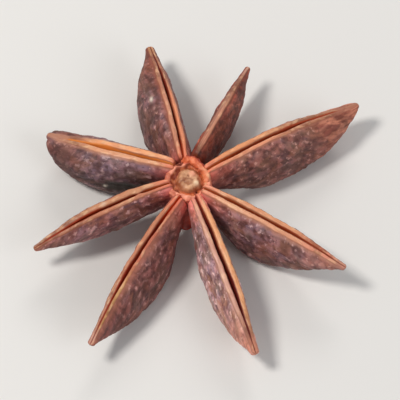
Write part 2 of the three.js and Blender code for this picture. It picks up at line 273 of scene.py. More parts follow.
    # distance down the skin from the edge of the lip
    edge = np.where(hand > 0, arc[:, [np.argmax((zone == 1) & (hand > 0))]], arc[:, [np.argmax((zone == 1) & (hand < 0))]])
    closed = np.broadcast_to(closed, s.shape)
    deep = 0.4 * c["tip"]
    reach, sideways = along[-1] + c["stern"] + TIP_NOSE, line[-1] + deep * math.sin(lean[-1])
    nose = np.array([ca * reach - sa * sideways, sa * reach + ca * sideways, float(seam_height(c, 1.0)) - deep * math.cos(lean[-1])])
    return dict(nose=nose, P=P, s=s, out=out, side=side, curled=curled, closed=closed, arc=arc, edge=arc - edge, zone=zone, hand=hand)


def grid_normals(P):
    du = np.gradient(P, axis=0)
    dv = (np.roll(P, -1, axis=1) - np.roll(P, 1, axis=1)) / 2
    n = np.cross(dv, du)
    length = np.linalg.norm(n, axis=-1, keepdims=True)
    n = n / np.maximum(length, 1e-9)
    centre = P.mean(axis=1, keepdims=True)
    flip = np.sign(np.sum(n * (P - centre), axis=-1).mean())
    return n * (flip if flip else 1)


def build_mesh(name, verts, faces, fields):
    mesh = bpy.data.meshes.new(name)
    mesh.from_pydata((verts * MM).tolist(), [], faces)
    for key, values in fields.items():
        if values.ndim == 1:
            at = mesh.attributes.new(key, "FLOAT", "POINT")
            at.data.foreach_set("value", values.astype(np.float32))
        else:
            at = mesh.attributes.new(key, "FLOAT_VECTOR", "POINT")
            at.data.foreach_set("vector", values.astype(np.float32).ravel())
    mesh.polygons.foreach_set("use_smooth", [True] * len(mesh.polygons))
    mesh.update()
    ob = bpy.data.objects.new(name, mesh)
    bpy.context.scene.collection.objects.link(ob)
    return ob


def make_carpel(c, number):
    trial = carpel_grid(c, number, 0.0, 61, rough=False)
    sink = trial["P"][..., 2].min() - (c["keel"] - FLAT)
    stations = 320
    G = carpel_grid(c, number, sink, stations)
    P, zone, out, arc = G["P"], G["zone"][None, :], G["out"], G["arc"]
    s = np.clip(G["s"], 0, 1)[:, None]
    seed = 37.7 * number
    side_q = np.clip(zone - 1, 0, 1)  # 0 at the lip, 1 at the keel
    n = grid_normals(P)
    hand = G["hand"][None, :]
    ax, ay, az = out, arc * hand, np.full_like(out, seed)

    # relief of the dried skin: broad soft hollows, long folds that run out along
    # the side, a slanting net between them, and short folds over the keel
    wx = ax + 0.5 * noise(ax * 0.5, ay * 0.5, az + 3)
    wy = ay + 0.4 * noise(ax * 0.6, ay * 0.6, az + 9)
    long_folds = folds(wx * 0.20, wy * 0.75, az + 0.3)
    net = folds((wx + 0.8 * wy) * 0.75 + 4, (wy - 0.5 * wx) * 0.75, az + 1.7)
    cross = folds(wx * 1.2 + 2, wy * 0.35, az + 5.1)
    lumps = fbm(ax * 0.35, ay * 0.35, az + 7.7, 2)
    fine = fbm(wx * 1.8, wy * 1.8, az + 2.9, 2)
    grit = noise(ax * 4.6, ay * 4.6, az + 31.0)
    on_skin = ramp(0.0, 0.08, side_q) * (1 - 0.6 * ramp(0.88, 1.0, s)) * (0.4 + 0.6 * ramp(0.02, 0.2, s))
    keelish = ramp(0.55, 0.9, side_q)
    relief = (
        0.09 * lumps
        + 0.16 * (long_folds - 0.25) * (1 - 0.4 * keelish)
        + 0.13 * (net - 0.25)
        + 0.14 * (cross - 0.25) * keelish
        + 0.030 * fine
        + 0.012 * grit
    )
    pits = -0.045 * ramp(0.50, 0.80, noise(wx * 1.5, wy * 1.5, az + 12.3))
    relief = (relief + pits) * on_skin
    # the lips: faint nicks, swellings and threads that run along them
    on_lip = np.where(zone <= 1, np.sin(np.pi * np.clip(zone, 0, 1)), 0)
    threads = noise(ax * 0.7, np.clip(zone, 0, 1) * 4.0 * hand, az + 25)
    relief = relief + on_lip * (0.035 * noise(ax * 1.3, ay * 1.3, az + 20) + 0.012 * noise(ax * 4.0, ay * 3.0, az + 22) + 0.014 * threads)

    # a hollow low on one flank with painted shadow in it, and small pale flecks
    painted_hollow_shadow, fleck = np.zeros_like(out), np.zeros_like(out)
    low_side = np.broadcast_to(side_q, out.shape)
    if c["name"] == "carpel_northwest":
        here = (hand > 0) * np.exp(-(((out - 7.2) / 2.3) ** 2) - (((low_side - 0.52) / 0.13) ** 2))
        relief = relief - 0.38 * here
        painted_hollow_shadow = ramp(0.25, 0.75, here + 0.12 * noise(ax * 1.1, ay * 1.1, az + 50))
        fleck = (hand > 0) * np.exp(-(((out - 8.8) / 0.22) ** 2) - (((low_side - 0.53) / 0.03) ** 2))
    if c["name"] == "carpel_north":
        fleck = (hand > 0) * np.exp(-(((out - 11.3) / 0.30) ** 2) - (((G["side"] - 1.95) / 0.17) ** 2)) * (zone > 1.02) * (P[..., 2] > 4.5)
    if c["name"] == "carpel_west":
        fleck = 0.35 * (hand < 0) * np.exp(-(((out - 9.8) / 0.30) ** 2) - (((zone - 0.5) / 0.35) ** 2))
    relief = relief + 0.05 * fleck
    P = P + n * relief[..., None]
    P[..., 2] = np.maximum(P[..., 2], 0.0)

    rows, ring = P.shape[:2]
    verts = P.reshape(-1, 3)
    a = math.radians(c["angle"])
    ca, sa = math.cos(a), math.sin(a)
    extra, faces = [], []
    idx = np.arange(rows * ring).reshape(rows, ring)
    for i in range(rows - 1):
        r0, r1 = idx[i], idx[i + 1]
        faces.extend(zip(r0.tolist(), r1.tolist(), np.roll(r1, -1).tolist(), np.roll(r0, -1).tolist()))
    # rounded nose: shrinking rings past the last station
    last = idx[-1]
    count = rows * ring
    nose_rings = 10
    nose, ahead = G["nose"], np.array([ca, sa, 0.0])
    to_nose = nose - P[-1]
    forward = (to_nose @ ahead)[:, None] * ahead
    for j in range(1, nose_rings + 1):
        f = math.sin(math.pi / 2 * j / (nose_rings + 1))
        ringv = P[-1] + forward * f + (to_nose - forward) * (1 - math.sqrt(max(0.0, 1 - f * f)))
        extra.append(ringv)
        new = np.arange(count, count + ring)
        faces.extend(zip(last.tolist(), new.tolist(), np.roll(new, -1).tolist(), np.roll(last, -1).tolist()))
        last = new
        count += ring
    extra = np.concatenate(extra)
    foot = P[0].mean(axis=0)
    faces.extend((int(last[k]), count, int(last[(k + 1) % ring])) for k in range(ring))
    faces.extend((int(idx[0][(k + 1) % ring]), count + 1, int(idx[0][k])) for k in range(ring))
    verts = np.concatenate([verts, extra, nose[None], foot[None]])

    z = np.broadcast_to(zone, out.shape)
    # crest is 1 along the top of a lip, and falls to its outer and inner edges
    wob = 0.04 * noise(ax * 0.9, ay * 0 + hand * 4, az + 41) + 0.03 * noise(ax * 3.1, ay * 0 + hand * 9, az + 43)
    lip_f = np.where(z < 0, 1.0, 1 - ramp(-0.08, 0.06, G["edge"] + wob))
    closed = G["closed"][:, None]
    if c["stern"] > 0:
        lip_f = lip_f * (1 - 0.75 * closed)
    crest_f = np.where((z >= 0) & (z <= 1), np.sin(np.pi * np.clip(z, 0, 1)) ** 0.8, 0)
    crest_f = crest_f * (1 - closed) + closed * np.cos(np.pi / 2 * np.clip(z, 0, 1))
    slit_f = np.where(z < 0.12, 1.0, 0.0) * ramp(-0.12, 0.75, -z) * (1 - closed)
    # where the seam closes it goes on as a dark line
    seam_line = 0.6 * np.exp(-((np.clip(z, 0, 1) / 0.17) ** 2)) * ramp(0.40, 0.66, s) * (1 - ramp(0.88, 0.97, s)) * (1 - closed)
    slit_f = np.maximum(slit_f, np.where(z < 1, seam_line, 0))
    S = np.broadcast_to(s, out.shape)
    crease = np.minimum(long_folds, net * 1.05)
    fields = {
        "lip": lip_f,
        "crest": crest_f,
        "slit": slit_f,
        "along": S,
        "side": np.clip(z - 1, 0, 1),
        "rim": np.clip(G["edge"] + 2 * wob, 0, 4),
        "fold": np.clip(0.5 + relief / 0.22, 0, 1),
        "crease": np.clip(1 - crease / 0.10, 0, 1) * on_skin,
        "hand": np.broadcast_to(hand, out.shape),
        "curled": G["curled"],
        "painted_hollow_shadow": painted_hollow_shadow,
        "fleck": np.clip(fleck, 0, 1),
    }
    flat = {}
    for key, v in fields.items():
        tail = np.concatenate([np.tile(v[-1], nose_rings), [v[-1].mean(), v[0].mean()]])
        flat[key] = np.concatenate([np.asarray(v, float).ravel(), tail])
    grain = np.stack([ax, ay, az], axis=-1).reshape(-1, 3)
    g_tail = np.concatenate([np.tile(np.stack([ax, ay, az], axis=-1)[-1], (nose_rings, 1)), grain[-1:], grain[:1]])
    flat["grain"] = np.concatenate([grain, g_tail])
    verts = verts + np.array([AXIS_X, AXIS_Y, 0.0])
    return build_mesh(c["name"], verts, faces, flat)


# ---- column -----------------------------------------------------------------
def make_column():
    profile = np.array([
        [0.0, STALK_Z + 0.12], [0.45, STALK_Z + 0.10], [0.8, STALK_Z + 0.02], [1.1, STALK_Z + 0.05], [1.2, STALK_Z + 0.3],
        [1.2, STALK_Z + 0.8], [1.6, 2.55], [2.15, 2.8], [2.5, 3.1], [CORE_R, 3.5], [CORE_R, 4.4], [CORE_R, 5.3],
        [2.62, 5.9], [2.52, 6.3], [2.35, 6.56], [2.15, 6.66], [1.98, 6.64], [1.82, 6.50], [1.66, 6.34], [1.48, 6.28], [1.38, 6.34],
        [1.30, 6.50], [1.21, 6.68], [1.09, 6.84], [0.93, 6.98], [0.72, 7.08], [0.48, 7.15], [0.24, 7.18], [0.0, 7.18],
    ])
    seg = np.concatenate([[0], np.cumsum(np.linalg.norm(np.diff(profile, axis=0), axis=1))])
    rows = 180
    t = np.linspace(0, seg[-1], rows)
    r = np.interp(t, seg, profile[:, 0])
    h = np.interp(t, seg, profile[:, 1])
    for _ in range(4):  # round the corners of the profile
        r[1:-1] = (r[:-2] + 2 * r[1:-1] + r[2:]) / 4
        h[1:-1] = (h[:-2] + 2 * h[1:-1] + h[2:]) / 4
    r, h = r[1:-1], h[1:-1]
    ring = 160
    th = np.linspace(0, 2 * np.pi, ring, endpoint=False)
    R, H, T = r[:, None], h[:, None], th[None, :]
    # the web between the two front carpels
    away = np.abs((np.degrees(T) - WEB_ANGLE + 540) % 360 - 180)
    web = (1 - ramp(0, 2 * WEB_SPREAD, away)) * (1 - ramp(3.2, 6.1, H)) * ramp(1.9, 2.6, H)
    RW = R + WEB_REACH * web * (R > 1.5)
    X, Y = RW * np.cos(T), RW * np.sin(T)
    # the knob is longer from front to back than across
    knob = np.broadcast_to(ramp(6.38, 6.66, H) * (1 - ramp(1.30, 1.42, R)), X.shape)
    lift = ramp(6.15, 6.28, H) * (1 - ramp(1.3, 2.2, R))
    wob = 1 + lift * (0.14 * noise(np.cos(T) * 1.3, np.sin(T) * 1.3, 5.5) + 0.08 * noise(np.cos(T) * 3.0, np.sin(T) * 3.0, 7.5))
    wob = wob + ramp(6.15, 6.28, H) * ramp(1.40, 1.70, R) * 0.13 * noise(np.cos(T) * 2.0 + 9, np.sin(T) * 2.0, 2.5)
    X = X * wob * (1 + 0.06 * lift) + 0.05 * lift
    Y = Y * wob * (1 + 0.24 * lift) - 0.22 * lift
    Z = np.broadcast_to(H, X.shape)
    P = np.stack([X, Y, Z], axis=-1)
    n = grid_normals(P)
    top = ramp(6.0, 6.3, H)
    edge = R + 0.10 * noise(X * 1.6, Y * 1.6, 17.0)
    moat = top * ramp(1.24, 1.38, R) * (1 - ramp(1.82, 2.06, edge))
    under = np.broadcast_to(1 - ramp(2.2, 2.7, H), X.shape)

    def spot(x, y, w, v=None):
        return np.exp(-(((X - x) / w) ** 2) - (((Y - y) / (v or w)) ** 2))

    # low swellings on the knob, a shallow middle, and two pits beside it
    bulge = 0.12 * spot(0.43, 0.42, 0.30) + 0.13 * spot(0.84, -0.72, 0.26) + 0.12 * spot(-0.15, -1.25, 0.50, 0.32) + 0.09 * spot(-0.62, 0.35, 0.30, 0.5) - 0.13 * spot(0.0, 0.1, 0.24, 0.45) - 0.10 * spot(-0.45, -0.65, 0.20)
    knob_shape = bulge + 0.14 * noise(X * 1.7 + 2.2, Y * 1.7 + 1.3, 3.3) + 0.06 * noise(X * 4.0, Y * 4.0, 6.6)
    pit = spot(-0.98, 2.02, 0.34) + spot(0.95, -1.62, 0.24) * 0.8
    rim_shape = 0.13 * noise(X * 1.4 + 3, Y * 1.4, 4.7) + 0.09 * noise(X * 3.0, Y * 3.0, 8.8)
    rough = 0.08 * noise(X * 0.9, Y * 0.9, Z * 0.9 + 3) + 0.06 * fbm(X * 1.6, Y * 1.6, Z * 1.6 + 5, 2) + 0.02 * noise(X * 5, Y * 5, Z * 5)
    relief = knob * knob_shape + top * (1 - knob) * rim_shape + under * 0.12 * noise(X * 2.5, Y * 2.5, 4.4) + rough * (1 - top)
    P = P + n * relief[..., None]
    P[..., 2] -= top * 0.45 * np.clip(pit, 0, 1) * ramp(0.9, 1.5, R)
    rows = P.shape[0]
    idx = np.arange(rows * ring).reshape(rows, ring)
    faces = []
    for i in range(rows - 1):
        r0, r1 = idx[i], idx[i + 1]
        faces.extend(zip(r0.tolist(), np.roll(r0, -1).tolist(), np.roll(r1, -1).tolist(), r1.tolist()))
    low, tip = rows * ring, rows * ring + 1
    faces.extend((int(idx[0][(k + 1) % ring]), int(idx[0][k]), low) for k in range(ring))
    faces.extend((int(idx[-1][k]), int(idx[-1][(k + 1) % ring]), tip) for k in range(ring))
    verts = np.concatenate([P.reshape(-1, 3), P[0].mean(axis=0)[None], P[-1].mean(axis=0)[None]])
    verts = verts + np.array([AXIS_X, AXIS_Y, 0.0])
    fields = {
        "knob": (knob, 0, 1),
        "moat": (moat, 0, 0),
        "shade": (np.clip((1 - ramp(-0.8, 0.4, np.cos(T))) * (0.5 + 0.5 * ramp(-1.6, 0.2, Y)) + 0 * X, 0, 1), 0, 0),
        "shoulder": (top * ramp(1.75, 2.05, edge), 0, 0),
        "front": ((1 - ramp(-1.8, -0.5, Y)) * ramp(-1.5, -0.4, X), 0, 0),
        "under": (under, 1, 0),
        "pit": (np.clip(pit, 0, 1) * top, 0, 0),
        "rosy": (knob * spot(0.45, 0.40, 0.38), 0, 0),
        "knob_painted_glint": (knob * np.clip(1.25 * spot(0.86, -0.70, 0.25), 0, 1), 0, 0),
        "peach": (knob * np.clip(spot(-0.20, -1.50, 0.42, 0.30) + 0.5 * spot(-0.7, 0.7, 0.25), 0, 1), 0, 0),
        "olive": (knob * np.clip(spot(-0.2, 1.0, 0.5, 0.5) + spot(-0.55, -0.95, 0.30, 0.35) + 0.7 * spot(0.5, -1.3, 0.3), 0, 1), 0, 0),
        "tan": (knob * np.clip(spot(0.25, -0.35, 0.45, 0.40) + 0.7 * spot(0.9, 0.1, 0.2, 0.3), 0, 1), 0, 0),
        "knob_rim_shade": (knob * ramp(0.80, 1.22, R + 0.10 * noise(X * 2.0, Y * 2.0, 21.0)), 0, 0),
        "web": (np.clip(web * 1.5, 0, 1) * np.ones_like(X), 0, 0),
        "fold": (np.clip(0.5 + relief / 0.30, 0, 1), 0.5, 0.5),
    }
    flat = {k: np.concatenate([np.asarray(v, float).ravel(), [a, b]]) for k, (v, a, b) in fields.items()}
    return build_mesh("column", verts, faces, flat)


# The thick edge behind and beside the knob, from the north carpel's foot round to
# the southeast one's: angle, radius, height of its top, half its width.
ARC = [
    (108, 2.62, 6.40, 0.20), (100, 2.58, 6.86, 0.28), (92, 2.48, 7.04, 0.36), (80, 2.36, 7.12, 0.44), (66, 2.24, 7.08, 0.46), (52, 2.10, 7.10, 0.46),
    (40, 2.00, 6.96, 0.38), (30, 1.96, 6.88, 0.30), (20, 2.04, 7.02, 0.40), (6, 2.12, 7.04, 0.42), (-6, 2.10, 6.90, 0.34), (-16, 2.10, 6.66, 0.26), (-26, 2.20, 6.35, 0.18),
]


def make_arc():
    """A rounded rope of flesh that joins the feet behind the knob."""
    table = np.array(ARC, float)
    rows, ring = ((150, 36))
    u = np.linspace(0, len(ARC) - 1, rows)
    v = [np.interp(u, np.arange(len(ARC)), table[:, k]) for k in range(4)]
    for k in range(4):
        for _ in range(8):
            v[k][1:-1] = (v[k][:-2] + 2 * v[k][1:-1] + v[k][2:]) / 4
    angle, radius, height, width = v
    q = np.linspace(0, 2 * np.pi, ring, endpoint=False)[None, :]
    a = np.radians(angle)[:, None]
    wide = width[:, None] * (1 + 0.24 * noise(u[:, None] * 1.1, np.cos(q), np.sin(q)))
    tall = 0.40
    r = radius[:, None] + wide * np.cos(q)
    z = height[:, None] - tall + tall * np.sign(np.sin(q)) * np.abs(np.sin(q)) ** 0.75
    P = np.stack([r * np.cos(a), r * np.sin(a), z], axis=-1)
    n = grid_normals(P)
    relief = 0.13 * noise(P[..., 0] * 1.3, P[..., 1] * 1.3, P[..., 2] * 1.3 + 12) + 0.07 * noise(P[..., 0] * 3.0, P[..., 1] * 3.0, 14.0)
    P = P + n * relief[..., None]
    idx = np.arange(rows * ring).reshape(rows, ring)
    faces = []
    for i in range(rows - 1):
        r0, r1 = idx[i], idx[i + 1]
        faces.extend(zip(r0.tolist(), np.roll(r0, -1).tolist(), np.roll(r1, -1).tolist(), r1.tolist()))
    one, two = rows * ring, rows * ring + 1
    faces.extend((int(idx[0][(k + 1) % ring]), int(idx[0][k]), one) for k in range(ring))
    faces.extend((int(idx[-1][k]), int(idx[-1][(k + 1) % ring]), two) for k in range(ring))
    verts = np.concatenate([P.reshape(-1, 3), P[0].mean(axis=0)[None], P[-1].mean(axis=0)[None]])
    verts = verts + np.array([AXIS_X, AXIS_Y, 0.0])
    outer = np.broadcast_to(ramp(0.0, 0.9, np.cos(q)), P.shape[:2])
    warm = np.broadcast_to(ramp(60, 10, angle)[:, None], outer.shape)
    fields = {"outer": np.concatenate([outer.ravel(), [0, 0]]), "warm": np.concatenate([warm.ravel(), [0, 1]])}
    return build_mesh("joined_feet", verts, faces, fields)


# ---- materials --------------------------------------------------------------
def srgb(r, g, b, k=1.0):
    def lin(v):
        v = v / 255.0
        return min(1.0, k * (v / 12.92 if v <= 0.04045 else ((v + 0.055) / 1.055) ** 2.4))
    return (lin(r), lin(g), lin(b), 1.0)


def blend(a, b, f):
    return tuple(a[i] + (b[i] - a[i]) * f for i in range(3)) + (1.0,)


class Graph:
    def __init__(self, name):
        self.mat = bpy.data.materials.new(name)
        self.mat.use_nodes = True
        self.nt = self.mat.node_tree
        self.nt.nodes.clear()
        self.out = self.nt.nodes.new("ShaderNodeOutputMaterial")
        self.bsdf = self.nt.nodes.new("ShaderNodeBsdfPrincipled")
        self.nt.links.new(self.bsdf.outputs[0], self.out.inputs[0])

    def node(self, kind, **props):
        n = self.nt.nodes.new(kind)
        for k, v in props.items():
            setattr(n, k, v)
        return n

    def link(self, a, b):
        self.nt.links.new(a, b)

    def put(self, socket, value):
        if isinstance(value, bpy.types.NodeSocket):
            self.link(value, socket)
        else:
            socket.default_value = value

    def attr(self, name, vector=False):
        n = self.node("ShaderNodeAttribute", attribute_name=name)
        return n.outputs["Vector"] if vector else n.outputs["Fac"]

    def math(self, op, a, b=0.0, c=0.0, clamp=False):
        n = self.node("ShaderNodeMath", operation=op, use_clamp=clamp)
        self.put(n.inputs[0], a)
        self.put(n.inputs[1], b)
        self.put(n.inputs[2], c)
        return n.outputs[0]

    def band(self, v, lo, hi, to_lo=0.0, to_hi=1.0, smooth=True):
        n = self.node("ShaderNodeMapRange", clamp=True)
        n.interpolation_type = "SMOOTHSTEP" if smooth else "LINEAR"
        self.put(n.inputs["Value"], v)
        n.inputs["From Min"].default_value = lo
        n.inputs["From Max"].default_value = hi
        n.inputs["To Min"].default_value = to_lo
        n.inputs["To Max"].default_value = to_hi
        return n.outputs["Result"]

    def mix(self, fac, a, b, blend="MIX"):
        n = self.node("ShaderNodeMix", data_type="RGBA", blend_type=blend)
        self.put(n.inputs["Factor"], fac)
        self.put(n.inputs[6], a)
        self.put(n.inputs[7], b)
        return n.outputs[2]

    def noise(self, vector, scale, detail=3.0, rough=0.55, distortion=0.0, stretch=None):
        if stretch is not None:
            m = self.node("ShaderNodeMapping")
            m.inputs["Scale"].default_value = stretch
            self.link(vector, m.inputs["Vector"])
            vector = m.outputs[0]
        n = self.node("ShaderNodeTexNoise")
        self.link(vector, n.inputs["Vector"])
        n.inputs["Scale"].default_value = scale
        n.inputs["Detail"].default_value = detail
        n.inputs["Roughness"].default_value = rough
        n.inputs["Distortion"].default_value = distortion
        return n.outputs["Fac"]

    def bump(self, height, strength, distance):
        b = self.node("ShaderNodeBump")
        b.inputs["Strength"].default_value = strength
        b.inputs["Distance"].default_value = distance
        self.link(height, b.inputs["Height"])
        self.link(b.outputs[0], self.bsdf.inputs["Normal"])


SKIN = 1.25  # overall lightness of the skin's colours
LIPS = 1.0  # and of the lips'


def carpel_material(c):
    g = Graph("skin_" + c["name"])
    grain = g.attr("grain", vector=True)  # along, round and seed, in mm
    keys = ("lip", "crest", "slit", "along", "side", "rim", "fold", "crease", "hand", "curled", "painted_hollow_shadow", "fleck")
    lip, crest, slit, along, side, rim, fold, crease, hand, curled, painted_hollow_shadow, fleck = (g.attr(k) for k in keys)
    v = SKIN

    # dried skin: mauve grey and pinkish brown in soft mottles under 1 mm
    patches = g.noise(grain, 0.45, 2.0, 0.5, 0.1)
    hues = g.noise(grain, 0.62, 2.0, 0.5, 0.1, stretch=(0.8, 1.2, 1.6))
    mottle = g.noise(grain, 0.95, 2.5, 0.55, 0.2)
    streaks = g.noise(grain, 0.9, 3.0, 0.55, 0.1, stretch=(0.45, 1.6, 1.0))
    flecks = g.noise(grain, 1.55, 2.0, 0.55, 0.1)
    fine = g.noise(grain, 6.0, 3.0, 0.6)
    mauve, mauve_d = srgb(164, 137, 140, v), srgb(94, 72, 78, v)
    brown, brown_d = srgb(164, 116, 98, v), srgb(90, 56, 47, v)
    skin_a = blend(brown, mauve, c["gray"])
    skin_b = blend(brown_d, mauve_d, c["gray"])
    col = g.mix(g.band(mottle, 0.39, 0.61), skin_b, skin_a)
    col = g.mix(g.band(hues, 0.52, 0.64, 0.0, 0.50 * c["gray"] + 0.15), col, srgb(146, 134, 146, v))
    col = g.mix(g.band(hues, 0.48, 0.38, 0.0, 0.60), col, srgb(150, 112, 84, v))
    col = g.mix(g.band(patches, 0.50, 0.66, 0.0, 0.50), col, srgb(130, 120, 104, v))
    col = g.mix(g.band(patches, 0.48, 0.30, 0.0, 0.5), col, srgb(150, 98, 84, v))
    col = g.mix(g.band(streaks, 0.52, 0.74, 0.0, 0.45), col, srgb(176, 148, 138, v))
    col = g.mix(g.band(flecks, 0.56, 0.70, 0.0, 0.72), col, srgb(222, 202, 192, v))
    col = g.mix(g.band(flecks, 0.43, 0.31, 0.0, 0.65), col, srgb(78, 52, 50, v))
    # the skin turns pink by the foot and by the beak
    tint = g.band(mottle, 0.30, 0.62, 0.55, 1.0)
    near_foot = g.math("MULTIPLY", g.band(along, 0.24, 0.02), tint)
    col = g.mix(g.math("MULTIPLY", near_foot, 0.85 * c["pink_in"]), col, srgb(206, 122, 102))
    near_tip = g.math("MULTIPLY", g.band(along, 0.62, 0.96), tint)
    col = g.mix(g.math("MULTIPLY", near_tip, 0.8 * c["pink_out"]), col, srgb(198, 136, 118))
    if c["name"] == "carpel_east":  # the blunt end is red brown with pale streaks
        end = g.band(along, 0.66, 0.80)
        ridges = g.noise(grain, 0.9, 2.5, 0.55, 0.3, stretch=(0.55, 1.3, 1.0))
        streaky = g.mix(g.band(ridges, 0.42, 0.62), srgb(136, 84, 68, SKIN), srgb(212, 170, 144, SKIN))
        col = g.mix(g.math("MULTIPLY", end, 0.75), col, streaky)
    rosy = g.math("MULTIPLY", g.band(along, 0.12, 0.02), g.band(side, 0.40, 0.10))
    col = g.mix(g.math("MULTIPLY", rosy, 0.0 if c["gap"] < 0.1 else 0.62), col, srgb(222, 158, 144))
    # painted highlight on the raised folds, painted shade, brown, in the hollows and creases
    col = g.mix(g.band(fold, 0.55, 0.95, 0.0, 0.30), col, srgb(190, 164, 154, v))
    col = g.mix(g.band(fold, 0.42, 0.08, 0.0, 0.45), col, srgb(84, 54, 46, v))
    col = g.mix(g.math("MULTIPLY", crease, 0.30), col, srgb(88, 56, 44, v))
    # the keel is browner, and darker with painted shade
    col = g.mix(g.band(side, 0.45, 1.0, 0.0, 0.35), col, srgb(100, 64, 50, v))
    col = g.mix(g.band(fine, 0.60, 0.76, 0.0, 0.25), col, srgb(196, 170, 158, v))
    col = g.mix(g.band(fine, 0.42, 0.28, 0.0, 0.30), col, srgb(76, 48, 40, v))
    col = g.mix(1.0, col, c["tint"] + (1.0,), "MULTIPLY")
    col = g.mix(g.math("MULTIPLY", g.band(along, 0.30, 0.12), g.band(side, 0.30, 0.14)), col, (1.30, 1.14, 1.08, 1.0), "MULTIPLY")
    col = g.mix(g.band(along, 0.62, 0.86), col, c["end"] + (1.0,), "MULTIPLY")
    # painted shade: the skin darker low on its flanks
    low = g.math("MULTIPLY", g.band(side, 0.16, 0.42), g.band(mottle, 0.30, 0.60, 1.0, 0.65))
    col = g.mix(g.math("MULTIPLY", low, c["flank"]), col, (0.56, 0.46, 0.45, 1.0), "MULTIPLY")
    # the skin beside the lips takes on some of their colour
    beside = g.math("MULTIPLY", g.band(rim, c["blush"], 0.0), g.band(mottle, 0.25, 0.60, 0.45, 1.0))
    col = g.mix(g.math("MULTIPLY", beside, 0.85), col, srgb(*c["blush_c"], LIPS))

    # lips: peach, coral near the column, duller on the beak; each has painted
    # highlights along its crest and painted shade, browner, at its edges
    tone = g.noise(grain, 0.7, 2.0, 0.5)
    left = g.band(hand, -0.01, 0.01)
    lip_hi = g.mix(left, srgb(*c["lip_r"], LIPS), srgb(*c["lip_l"], LIPS))
    lip_hi = g.mix(g.band(tone, 0.56, 0.30, 0.0, 0.35), lip_hi, srgb(198, 116, 88, LIPS))
    lip_hi = g.mix(g.band(along, 0.20, 0.0, 0.0, 0.9), lip_hi, srgb(*c["foot_c"], LIPS))
    dull = g.mix(g.band(mottle, 0.38, 0.62), srgb(128, 74, 52, LIPS), srgb(180, 118, 90, LIPS))
    if c["name"] == "carpel_southwest":  # its left lip is straw coloured
        straw = g.mix(g.band(mottle, 0.38, 0.62), srgb(150, 104, 50, LIPS), srgb(206, 158, 98, LIPS))
        dull = g.mix(left, dull, straw)
    if c["name"] == "carpel_southeast":  # coral and lumpy towards the beak
        dull = g.mix(g.band(mottle, 0.40, 0.58), srgb(156, 78, 54, LIPS), srgb(236, 152, 126, LIPS))
    lip_hi = g.mix(g.band(along, c["lip_end"] - 0.14, min(1.0, c["lip_end"] + 0.12), 0.0, 0.85), lip_hi, dull)
    lip_hi = g.mix(g.band(along, 0.88, 0.98, 0.0, 0.8), lip_hi, srgb(*c["beak_c"], LIPS))
    # painted glints: pale patches along the lips' crests
    lip_painted_glint = g.noise(grain, 0.9, 2.0, 0.5, 0.0, stretch=(1.0, 2.0, 1.0))
    lip_hi = g.mix(g.band(lip_painted_glint, 0.50, 0.68, 0.0, 0.45), lip_hi, srgb(252, 204, 158, LIPS))
    # painted shade: a darker, browner copy of the lip's colour for its edges
    lip_edge_shade = g.mix(0.66, lip_hi, srgb(126, 54, 28, LIPS))
    lip_col = g.mix(g.band(crest, 0.06, 0.70), lip_edge_shade, lip_hi)
    thread = g.noise(grain, 1.0, 3.0, 0.6, 0.0, stretch=(0.8, 7.0, 1.0))
    lip_col = g.mix(g.band(thread, 0.52, 0.34, 0.0, 0.30), lip_col, srgb(150, 84, 60, LIPS))
    col = g.mix(lip, col, lip_col)
    if c["gap"] < 0.1:  # a low ridge, dark where it starts
        col = g.mix(g.band(along, 0.20, 0.07, 0.0, 0.9), col, g.mix(g.band(mottle, 0.4, 0.6), srgb(62, 18, 8), srgb(112, 48, 32)))
    # slit: rust, darker as it goes down with painted shade
    slit_col = g.mix(g.band(along, 0.10, 0.28), srgb(*c["slit"], LIPS), srgb(*c["slit_far"], LIPS))
    deep = g.mix(0.35, slit_col, srgb(90, 28, 6))
    col = g.mix(g.band(slit, 0.0, 0.45), col, slit_col)
    col = g.mix(g.band(slit, 0.45, 1.0), col, deep)
    # the feet are brown where they curl down
    col = g.mix(g.band(curled, 0.55, 0.95, 0.0, 0.85), col, srgb(112, 34, 16) if c["name"] == "carpel_north" else srgb(138, 62, 32))
    # painted shadow, near black brown, in the hollow on the northwest carpel
    col = g.mix(painted_hollow_shadow, col, srgb(46, 34, 26))
    col = g.mix(fleck, col, srgb(236, 224, 206))
    g.link(col, g.bsdf.inputs["Base Color"])

    rough = g.band(fine, 0.3, 0.7, 0.50, 0.72)
    rough = g.math("SUBTRACT", rough, g.math("MULTIPLY", lip, 0.16))
    rough = g.math("ADD", rough, g.math("MULTIPLY", slit, 0.30), clamp=True)
    g.link(rough, g.bsdf.inputs["Roughness"])
    g.bsdf.inputs["Specular IOR Level"].default_value = 0.45

    skin_h = g.math("ADD", g.math("MULTIPLY", fine, 0.6), g.math("MULTIPLY", flecks, 0.8))
    lip_h = g.math("MULTIPLY", thread, 0.7)
    mixh = g.node("ShaderNodeMix", data_type="FLOAT")
    g.put(mixh.inputs[0], lip)
    g.put(mixh.inputs[2], skin_h)
    g.put(mixh.inputs[3], lip_h)
    g.bump(mixh.outputs[0], 0.5, 0.00008)
    return g.mat


